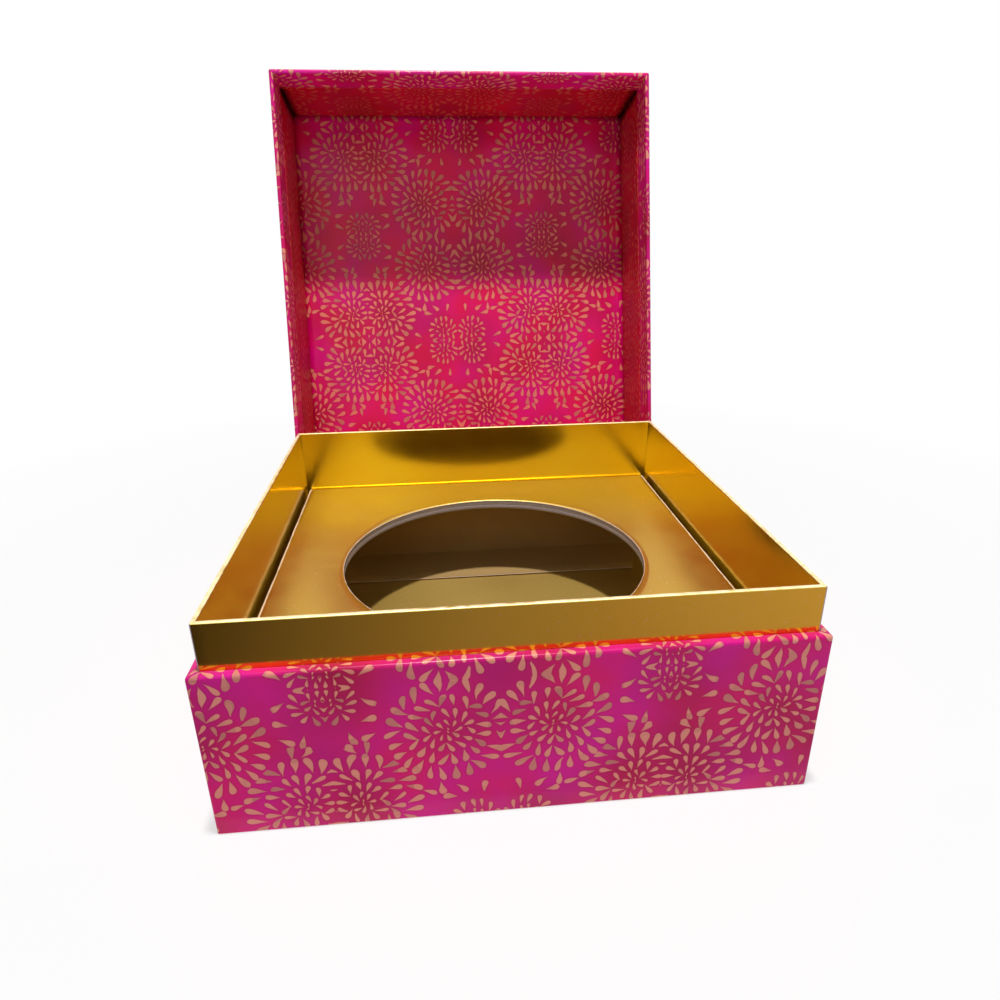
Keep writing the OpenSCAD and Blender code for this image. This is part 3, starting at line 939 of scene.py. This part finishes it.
build_lid_wall_lining()
build_lid_panel_lining()
build_neck_foil()
build_platform_card()
build_platform_board("platform_board_upper", "insert_board_upper", UPPER_LOW, UPPER_HIGH, seed=1.0)
build_platform_board("platform_board_lower", "insert_board_lower", LOWER_LOW, LOWER_HIGH, seed=7.0)
build_floor_liner()
build_bottom_sheet()
build_hinge_strip()

# The board trays, the neck's board and the stays keep the shapes of the frame
NODE_LOOKS = {
    "base_board_tray": BOARD,
    "neck_board": BOARD,
    "lid_board_tray": BOARD,
    "base_corner_stays": TAPE,
    "lid_corner_stays": TAPE,
}
for node_name, look in NODE_LOOKS.items():
    node_mesh = frame["nodes"][node_name].data
    node_mesh.materials.clear()
    node_mesh.materials.append(look)


# Floor, light and camera
FLOOR_REACH = 30.0
FLOOR_SHADE = (0.92, 0.92, 0.92)
FLOOR_NEAR = 0.16
FLOOR_FADE = 0.35
FLOOR_SHADOW = 0.35
AMBIENT = 0.19
# Painted reflection: a card whose colours the gold neck shows, dark on its left and paler on its right
DARK_CARD_HALF_W = 0.5
DARK_CARD_REACH = 0.6
DARK_CARD_GAP = 6 * MM
DARK_CARD_Z = 0.5 * MM
DARK_CARD_TURN_X = -0.16
DARK_CARD_FADE = 0.34
DARK_CARD_LEFT = (0.012, 0.0, 0.02)
DARK_CARD_RIGHT = (0.62, 0.42, 0.75)
CAMERA_PLACE = Vector((-0.02341, -0.28704, 0.18908))
CAMERA_YAW = math.radians(5.712)
CAMERA_PITCH = math.radians(-22.682)
CAMERA_ROLL = math.radians(-0.477)
CAMERA_LENS = 25.794
CAMERA_SHIFT = (-0.00586, 0.01048)


def seen_directly(tree):
    """1 for rays from the camera, a mirror or glass, else 0."""
    path = tree.nodes.new("ShaderNodeLightPath")
    camera = Val(tree, path.outputs["Is Camera Ray"])
    glossy = Val(tree, path.outputs["Is Glossy Ray"])
    glass = Val(tree, path.outputs["Is Transmission Ray"])
    return (camera + glossy + glass).clamp()


def plain_object(name, bm, material):
    mesh = bpy.data.meshes.new(name)
    bm.to_mesh(mesh)
    bm.free()
    mesh.materials.append(material)
    obj = bpy.data.objects.new(name, mesh)
    bpy.context.scene.collection.objects.link(obj)
    return obj


def build_floor():
    """A pale floor that turns to plain white away from the box, and keeps part of its shadow near it."""
    material, tree, shader = new_material("floor_white")
    shader.inputs["Base Color"].default_value = (*FLOOR_SHADE, 1)
    shader.inputs["Roughness"].default_value = 0.9
    glow = tree.nodes.new("ShaderNodeEmission")
    glow.inputs["Strength"].default_value = 1.0
    length = tree.nodes.new("ShaderNodeVectorMath")
    length.operation = "LENGTH"
    tree.links.new(coordinates(tree, "Object"), length.inputs[0])
    far = Val(tree, length.outputs["Value"]).step(FLOOR_NEAR, softness=FLOOR_FADE)
    glowing = far * FLOOR_SHADOW + (1 - FLOOR_SHADOW)
    mix = tree.nodes.new("ShaderNodeMixShader")
    tree.links.new((seen_directly(tree) * glowing).socket, mix.inputs[0])
    tree.links.new(shader.outputs[0], mix.inputs[1])
    tree.links.new(glow.outputs[0], mix.inputs[2])
    tree.links.new(mix.outputs[0], tree.nodes["Material Output"].inputs["Surface"])
    bm = bmesh.new()
    bmesh.ops.create_grid(bm, x_segments=8, y_segments=8, size=FLOOR_REACH)
    floor = plain_object("floor", bm, material)


def build_dark_card():
    """A card on the floor in front, seen by nothing but reflections: a painted reflection for the gold, dark on
    the left, paler on the right.
    """
    material, tree, shader = new_material("dark_card")
    x = split_axes(tree, coordinates(tree, "Object"))[0]
    share = x.step(DARK_CARD_TURN_X, softness=DARK_CARD_FADE)
    tree.links.new(mix_colours(tree, share, DARK_CARD_LEFT, DARK_CARD_RIGHT), shader.inputs["Base Color"])
    shader.inputs["Roughness"].default_value = 1.0
    half_w = DARK_CARD_HALF_W
    near = BASE_LOW.y - DARK_CARD_GAP
    far = BASE_LOW.y - DARK_CARD_REACH
    corners = ((-half_w, far), (half_w, far), (half_w, near), (-half_w, near))
    bm = bmesh.new()
    bm.faces.new([bm.verts.new((*corner, DARK_CARD_Z)) for corner in corners])
    card = plain_object("dark_card", bm, material)
    card.visible_camera = False
    card.visible_diffuse = False
    card.visible_shadow = False
    card.visible_transmission = False


def build_world():
    world = bpy.data.worlds.new("studio")
    bpy.context.scene.world = world
    world.use_nodes = True
    tree = world.node_tree
    background = tree.nodes["Background"]
    background.inputs["Color"].default_value = (1, 1, 1, 1)
    strength = seen_directly(tree) * (1.0 - AMBIENT) + AMBIENT
    tree.links.new(strength.socket, background.inputs["Strength"])


def add_lamp(name, place, target, size, watts):
    data = bpy.data.lights.new(name, "AREA")
    data.shape = "DISK"
    data.size = size
    data.energy = watts
    lamp = bpy.data.objects.new(name, data)
    lamp.location = place
    lamp.rotation_euler = (Vector(target) - Vector(place)).to_track_quat("-Z", "Y").to_euler()
    bpy.context.scene.collection.objects.link(lamp)


def build_camera():
    level = math.cos(CAMERA_PITCH)
    forward = Vector((math.sin(CAMERA_YAW) * level, math.cos(CAMERA_YAW) * level, math.sin(CAMERA_PITCH)))
    right = Vector((math.cos(CAMERA_YAW), -math.sin(CAMERA_YAW), 0))
    up = right.cross(forward)
    axis_x = right * math.cos(CAMERA_ROLL) + up * math.sin(CAMERA_ROLL)
    axis_y = up * math.cos(CAMERA_ROLL) - right * math.sin(CAMERA_ROLL)
    matrix = Matrix((axis_x, axis_y, -forward)).transposed().to_4x4()
    matrix.translation = CAMERA_PLACE
    data = bpy.data.cameras.new("camera")
    data.sensor_width = 36.0
    data.lens = CAMERA_LENS
    data.shift_x, data.shift_y = CAMERA_SHIFT
    data.clip_start = 0.01
    camera = bpy.data.objects.new("camera", data)
    camera.matrix_world = matrix
    bpy.context.scene.collection.objects.link(camera)
    bpy.context.scene.camera = camera


build_floor()
build_world()
add_lamp("key", place=(0.0, -0.14, 1.45), target=(0.0, 0.05, 0.1), size=0.09, watts=17.0)
add_lamp("front_fill", place=(-0.5, -1.4, 0.9), target=(0.0, 0.0, 0.05), size=0.9, watts=1.2)
build_dark_card()
build_camera()
bpy.context.scene.view_settings.view_transform = "Standard"
